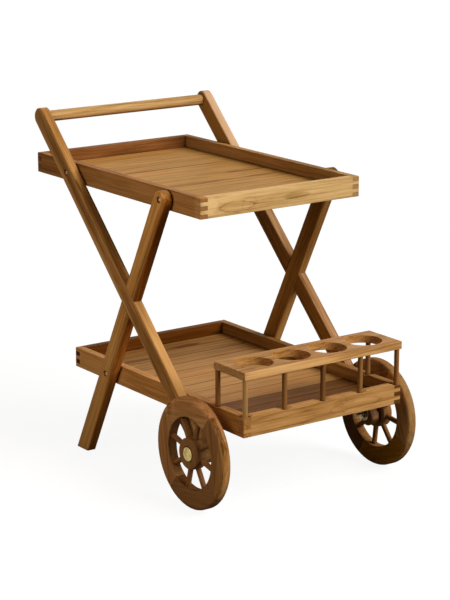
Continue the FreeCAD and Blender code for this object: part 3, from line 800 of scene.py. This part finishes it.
# The legs' colours paint light and shade: the right legs, whose inner faces lie in the trays' shade,
# have darker colours; faces paint the right legs' fronts lighter, where the lamps fall, and the left
# foot leg's front darker, where the trays shade it; blobs paint the parts under the top tray darker,
# in its shadow, and the right handle leg above the tray and the lower fronts of the left legs lighter.
LEG_LOOKS = {
    "left_handle_leg": dict(
        base=(0.430, 0.214, 0.066), slope=0.004,
        blobs=[((0.34, 0.000), (0.22, 0.03), -0.10), ((0.22, 0.004), (0.36, 0.0100), -0.16),
               ((0.22, -0.017), (0.40, 0.006), 0.24), ((0.12, 0.0245), (0.17, 0.0055), -0.42),
               ((0.42, 0.0245), (0.10, 0.0045), -0.08), ((-0.20, 0.0150), (0.20, 0.0022), -0.24),
               ((-0.22, -0.004), (0.20, 0.016), -0.26), ((-0.34, 0.0245), (0.20, 0.0045), 0.14)]),
    "right_handle_leg": dict(
        base=(0.285, 0.134, 0.028), slope=-0.006,
        faces=[(HANDLE_LEG_FRONT, (1.72, 2.12, 5.2))],
        blobs=[((0.45, 0.0), (0.17, 0.06), 0.34), ((-0.12, 0.0), (0.40, 0.06), -0.20),
               ((-0.05, -0.012), (0.5, 0.006), -0.12)]),
    "left_foot_leg": dict(
        base=(0.530, 0.258, 0.071), slope=0.006, faces=[(FOOT_LEG_FRONT, (0.86, 0.64, 0.40))],
        blobs=[((-0.10, 0.016), (0.30, 0.005), -0.10), ((0.22, -0.008), (0.16, 0.010), 0.08),
               ((0.05, -0.0245), (0.5, 0.003), -0.24), ((-0.24, -0.004), (0.24, 0.026), 0.16),
               ((-0.33, 0.0235), (0.17, 0.005), 0.26), ((0.20, 0.0), (0.22, 0.06), -0.16),
               ((0.20, 0.0250), (0.46, 0.0080), -0.34)]),
    "right_foot_leg": dict(
        base=(0.280, 0.138, 0.028), slope=-0.004, faces=[(FOOT_LEG_FRONT, (1.55, 1.52, 2.1))],
        blobs=[((0.0, 0.010), (0.35, 0.008), -0.10), ((0.30, 0.0), (0.15, 0.06), -0.20)]),
}


def dress_frame():
    lines = {"handle_leg": HANDLE_LEG_LINE, "foot_leg": FOOT_LEG_LINE}
    for node, look in LEG_LOOKS.items():
        look = dict(look)
        pick = random.Random(node + "a")
        look["pith"] = (pick.uniform(-0.02, 0.02), pick.uniform(0.05, 0.09))
        dress(node, wood(node + "_wood", lines[node.split("_", 1)[1]], X_AXIS, middle(node), node,
                         look.pop("base"), ring=0.011, rings=0.35, streaks=1.0, broad=1.1, **look))
    # the handle bar's underside is painted darker, as shaded
    dress("handle_bar", wood("handle_bar_wood", X_AXIS, Y_AXIS, middle("handle_bar"), "bar",
                             (0.475, 0.278, 0.105), ring=0.0060, pith=(0.0, 0.03), rings=0.8,
                             streaks=1.5, drift=0.4, faces=[(Z_AXIS * -1.0, (0.62, 0.54, 0.42))]))
    for tray in ("top_tray", "bottom_tray"):
        node = tray + "_bearer"
        dress(node, wood(node + "_wood", Y_AXIS, Z_AXIS, middle(node), node, (0.36, 0.18, 0.065)))


POST_BASES = {"rack_front_post_1": (0.420, 0.225, 0.078), "rack_front_post_2": (0.235, 0.105, 0.030),
              "rack_front_post_3": (0.190, 0.082, 0.024), "rack_front_post_4": (0.310, 0.145, 0.042),
              "rack_front_post_5": (0.270, 0.115, 0.032), "rack_rear_post_left": (0.230, 0.100, 0.030),
              "rack_rear_post_right": (0.280, 0.130, 0.040)}

RACK_BOARD_BLOBS = [((-0.11, -0.063), (0.13, 0.005), 0.30), ((0.21, -0.062), (0.05, 0.006), -0.10),
                    ((-0.205, 0.0), (0.022, 0.05), -0.12), ((0.14, -0.063), (0.09, 0.004), -0.08)]


def dress_rack():
    node = "bottle_rack_board"
    # painted light and shade: the front face is painted lighter, as lit from the front, and the walls
    # of the holes darker
    dress(node, wood(node + "_wood", X_AXIS, Z_AXIS, middle(node), "rack", (0.440, 0.232, 0.084),
                     ring=0.0078, slope=0.035, pith=(-0.012, -0.05), rings=1.0, end_shade=0.12,
                     faces=[(Y_AXIS * -1.0, (1.30, 1.38, 1.38))],
                     hole_wall_shade=(0.222, 0.0585, (0.86, 0.74, 0.58)), blobs=RACK_BOARD_BLOBS))
    for node in sorted(NODES):
        if node.startswith("rack_"):
            pick = random.Random(node)
            dress(node, wood(node + "_wood", Z_AXIS, Y_AXIS, middle(node), node,
                             POST_BASES[node], tone=pick.uniform(-0.03, 0.05),
                             ring=0.0050, pith=(0.006, 0.014), rings=0.6))


FELLOE_BASES = {"left": ((0.440, 0.212, 0.077), (0.380, 0.180, 0.063), (0.258, 0.121, 0.042),
                         (0.265, 0.125, 0.044)),
                "right": ((0.290, 0.145, 0.050), (0.270, 0.130, 0.040), (0.290, 0.140, 0.045),
                          (0.335, 0.176, 0.064))}
FELLOE_PATCHES = {
    "left_wheel_felloe_4": [((0.060, -0.006), (0.020, 0.006), 0.16)],
    "left_wheel_felloe_1": [((-0.060, 0.008), (0.030, 0.006), 0.20),
                            ((0.070, -0.004), (0.008, 0.03), -0.22),
                            ((0.050, 0.008), (0.006, 0.03), 0.16)],
}
FELLOE_EDGE_MARKS = {
    "left_wheel_felloe_4": [((-0.057, 0.000), (0.030, 0.0034), 0.70),
                            ((0.068, 0.005), (0.032, 0.0036), 0.64),
                            ((0.030, -0.008), (0.013, 0.0050), -0.34),
                            ((0.065, -0.003), (0.055, 0.018), -0.34)],
}
# (level, tilt, tint): the outer edge of this felloe is pale sapwood.
SAPWOOD = {"left_wheel_felloe_4": (0.0023, 0.263, (1.36, 1.40, 1.20))}
# painted light and shade on the rims: the left rim's tread on top and the inside of its lower part are
# painted darker, as shaded, and the right rim's inner face is painted lighter on its front felloes
FELLOE_PAINTED_LIGHT = {"left_wheel_felloe_1": [(Vector((0.0, 0.14, 0.99)), (0.74, 0.66, 0.62))],
                "left_wheel_felloe_3": [(Vector((0.0, -0.14, -0.99)), (0.90, 0.84, 0.80)),
                                        (Vector((0.0, 0.14, 0.99)), (0.60, 0.52, 0.44))],
                "right_wheel_felloe_3": [(X_AXIS * -1.0, (1.62, 1.38, 0.34))],
                "right_wheel_felloe_4": [(X_AXIS * -1.0, (1.7, 1.6, 1.4))]}
# Degrees by which the joints of a rim lie past the middle between two spokes.
JOINT_SHIFT = {"left": 0.0, "right": 4.5}
FELLOE_GRAIN_RADIUS = 0.112
# radius of a pale line on the rim's arris: wear and a painted highlight where the arris catches light
WORN_HIGHLIT_RING = RIM_RADIUS - SANDED_REACH - 0.0005
HUB_GRAIN = Vector((0.0, 0.35, 0.94)).normalized()


def dress_rim(side, centre):
    first = FIRST_SPOKE[side] + 180.0 / SPOKES + JOINT_SHIFT[side]
    sweep = 360.0 / FELLOES
    for number in range(FELLOES):
        start = first + number * sweep
        half = math.radians(start + sweep / 2)
        outward = Vector((0.0, -math.cos(half), math.sin(half)))
        name = "%s_wheel_felloe_%d" % (side, number + 1)
        pick = random.Random(name)
        material = wood(name + "_wood", outward.cross(X_AXIS), X_AXIS,
                        centre + outward * FELLOE_GRAIN_RADIUS, name,
                        FELLOE_BASES[side][number], tone=pick.uniform(-0.03, 0.03),
                        ring=0.0100, slope=pick.uniform(-0.10, 0.10), rings=0.35, broad=0.9,
                        pith=(pick.uniform(-0.04, 0.04), 0.05), end_shade=0.25,
                        blobs=FELLOE_PATCHES.get(name, ()), worn=0.35,
                        faces=FELLOE_PAINTED_LIGHT.get(name, ()), sapwood=SAPWOOD.get(name),
                        edge_marks=FELLOE_EDGE_MARKS.get(name, ()), shine=0.0,
                        worn_highlit_ring=WORN_HIGHLIT_RING)
        felloe(name, side, start, sweep, material)


def dress_wheels():
    for side, sign in SIDES.items():
        centre = WHEEL_CENTRE + X_AXIS * sign * (WHEEL_INNER_X + WHEEL_THICKNESS / 2)
        dress_rim(side, centre)
        node = side + "_wheel_hub"
        dress(node, wood(node + "_wood", HUB_GRAIN, X_AXIS, centre, node, (0.262, 0.124, 0.040),
                         ring=0.0080, rings=0.3, end_shade=0.2, streaks=0.6))
        node = side + "_wheel_spokes"
        dress(node, wood(node + "_wood", Y_AXIS, X_AXIS, centre, node, (0.270, 0.124, 0.043),
                         ring=0.0060, pith=(0.006, 0.012), rings=0.5,
                         coordinates=lambda sh: spoke_coordinates(sh, centre, FIRST_SPOKE[side])))
        dress(side + "_wheel_bush", brass(side + "_bush_brass", 3.0))


def tray_bolt_places():
    places = []
    for base in TRAY_BASES:
        z = base + TRAY_BOLT_LEVEL
        for top, bottom in ((HANDLE_POINT, WHEEL_CENTRE), (FOOT_TOP, FOOT_POINT)):
            share = (z - top.z) / (bottom.z - top.z)
            places.append(top + (bottom - top) * share)
    return places


def hexagon_radius(flats, angle):
    """Distance from the middle of a hexagon to its outline at an angle."""
    sector = (angle + math.pi / 6) % (math.pi / 3) - math.pi / 6
    return flats / 2 / math.cos(sector)


def tray_bolt(name, place, sign, material):
    """Button head with a hexagon socket over a plain shank."""
    seat = LEG_OUTER_X - COUNTERBORE_DEPTH
    tip, shank, point = 0.2240, 0.0030, 0.0004
    head, height, lip, mouth = 0.0055, 0.0033, 0.0006, 0.0026
    socket, socket_flats, socket_depth = 0.0020, 0.0035, 0.0018
    outline = [(tip, 0.0002), (tip, shank - point), (tip + point, shank), (seat, shank),
               (seat, head), (seat + lip, head)]
    for step in range(1, 7):
        angle = math.pi / 2 * step / 7
        outline.append((seat + lip + (height - lip) * math.sin(angle),
                        mouth + (head - mouth) * math.cos(angle)))
    outline += [(seat + height, mouth), (seat + height - 0.0001, socket),
                (seat + height - socket_depth, socket), (seat + height - socket_depth, 0.0001)]

    def radius(x, r, angle):
        return hexagon_radius(socket_flats, angle) if r == socket else r
    piece = turned(name, outline, place, sign, material, 48, radius)
    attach(piece, "frame")
    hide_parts("tray_bolts")


def tray_spacer(name, place, sign, material):
    """Dark ring between a side rail and the leg."""
    inner, outer, ease = 0.0033, 0.0090, 0.0004
    outline = [(HALF_WIDTH, inner), (HALF_WIDTH, outer - ease), (HALF_WIDTH + ease, outer),
               (LEG_INNER_X - ease, outer), (LEG_INNER_X, outer - ease), (LEG_INNER_X, inner),
               (HALF_WIDTH, inner)]
    piece = turned(name, outline, place, sign, material, 40, capped=False, smooth_angle=30.0)
    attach(piece, "frame")
    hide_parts("tray_bolts")


# The cap of a wheel bolt: height over its seat and radius, from the seat to the rim's inside.
CAP_RIM = ((0.0000, 0.0166), (0.0004, 0.0170), (0.0030, 0.0170), (0.0038, 0.0168),
           (0.0044, 0.0162), (0.0046, 0.0154), (0.0044, 0.0146))
CAP_DOME = 0.0014


def wheel_bolt(name, sign, material):
    """Threaded end, shank, and a low cap with a raised, rounded rim."""
    seat = HUB_OUTER_X - CAP_RECESS_DEPTH + WHEEL_PLAY
    start = NUT_INNER_X - BOLT_OVERHANG
    ease, pitch, depth, threaded = 0.0009, 0.00175, 0.0010, 0.026
    first_thread = start + 0.0010
    outline = [(start, 0.0003), (start, BOLT_RADIUS - 0.0011), (start + ease, BOLT_RADIUS)]
    count = int(threaded / pitch * 8)
    outline += [(first_thread + threaded * step / count, BOLT_RADIUS) for step in range(count + 1)]
    outline += [(seat - 0.0002, BOLT_RADIUS), (seat, BOLT_RADIUS + 0.0002)]
    outline += [(seat + height, r) for height, r in CAP_RIM]
    edge_height, edge_radius = CAP_RIM[-1]
    centre_radius, steps = 0.0002, 8
    for step in range(1, steps + 1):
        r = edge_radius * (1 - step / steps) + centre_radius
        bulge = CAP_DOME * (1 - (r / (edge_radius + centre_radius)) ** 2)
        outline.append((seat + edge_height + bulge, r))
    piece = turned(name, outline, WHEEL_CENTRE, sign, material, 64,
                   thread_radius(start + ease, first_thread + threaded, pitch, depth))
    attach(piece, "frame")
    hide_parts("wheel_bolts")


def wheel_nut(name, sign, material):
    """Hexagon nut with its corners turned off."""
    flats, bore, chamfer_slope = 0.019, 0.00605, 1.5
    start, end = NUT_INNER_X, NUT_OUTER_X
    steps = [0.0, 0.0004, 0.0008, 0.0012, 0.0018]
    outline = [(start, bore)]
    outline += [(start + step, flats) for step in steps]
    outline += [(end - step, flats) for step in reversed(steps)]
    outline += [(end, bore), (start, bore)]

    def radius(x, r, angle):
        if r == bore:
            return r
        from_face = min(x - start, end - x)
        return min(hexagon_radius(flats, angle), flats / 2 * 0.97 + from_face * chamfer_slope)
    piece = turned(name, outline, WHEEL_CENTRE, sign, material, 72, radius, capped=False,
                   smooth_angle=28.0)
    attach(piece, "frame")
    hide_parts("wheel_bolt_nuts")


# Tints of the brass, from the lacquered caps to the darkest pieces.
CAP_BRASS = (0.49, 0.36, 0.13)
TRAY_BOLT_BRASS = (0.42, 0.25, 0.11)
NUT_BRASS = (0.29, 0.22, 0.12)
WASHER_BRASS = (0.20, 0.14, 0.07)
SPACER_BRASS = (0.16, 0.11, 0.07)


def make_fasteners():
    for number, place in enumerate(tray_bolt_places(), 1):
        for side, sign in SIDES.items():
            name = "%s_tray_bolt_%d" % (side, number)
            material = brass(name + "_brass", number * 2.0 + sign, TRAY_BOLT_BRASS, dull=0.30)
            tray_bolt(name, place, sign, material)
            name = "%s_tray_spacer_%d" % (side, number)
            material = brass(name + "_brass", number + sign, SPACER_BRASS, dull=0.5)
            tray_spacer(name, place, sign, material)
    for side, sign in SIDES.items():
        material = brass(side + "_bolt_brass", 5.0 + sign, CAP_BRASS, dull=0.24, shaded_thread=True)
        wheel_bolt(side + "_wheel_bolt", sign, material)
        material = brass(side + "_nut_brass", 8.0 + sign, NUT_BRASS, dull=0.22)
        wheel_nut(side + "_wheel_nut", sign, material)
    dress("wheel_bolt_washers", brass("washer_brass", 11.0, WASHER_BRASS, dull=0.40))
    dress("tray_bolt_inserts", brass("insert_brass", 12.0, dull=0.42))


dress_boards()
dress_rails()
dress_frame()
dress_rack()
dress_wheels()
make_fasteners()
camera()
sun("key", 31.0, 38.0, 1.12, 42.0, (1.0, 0.985, 0.95))
sun("rear_fill", 138.0, 10.0, 0.40, 50.0, (1.0, 0.97, 0.93))
panel("left_fill", (-1.25, -0.35, 0.90), (-0.1, 0.0, 0.45), 0.8, 5.9, (1.0, 0.86, 0.70))
world()
floor()
bpy.context.scene.view_settings.view_transform = "Standard"
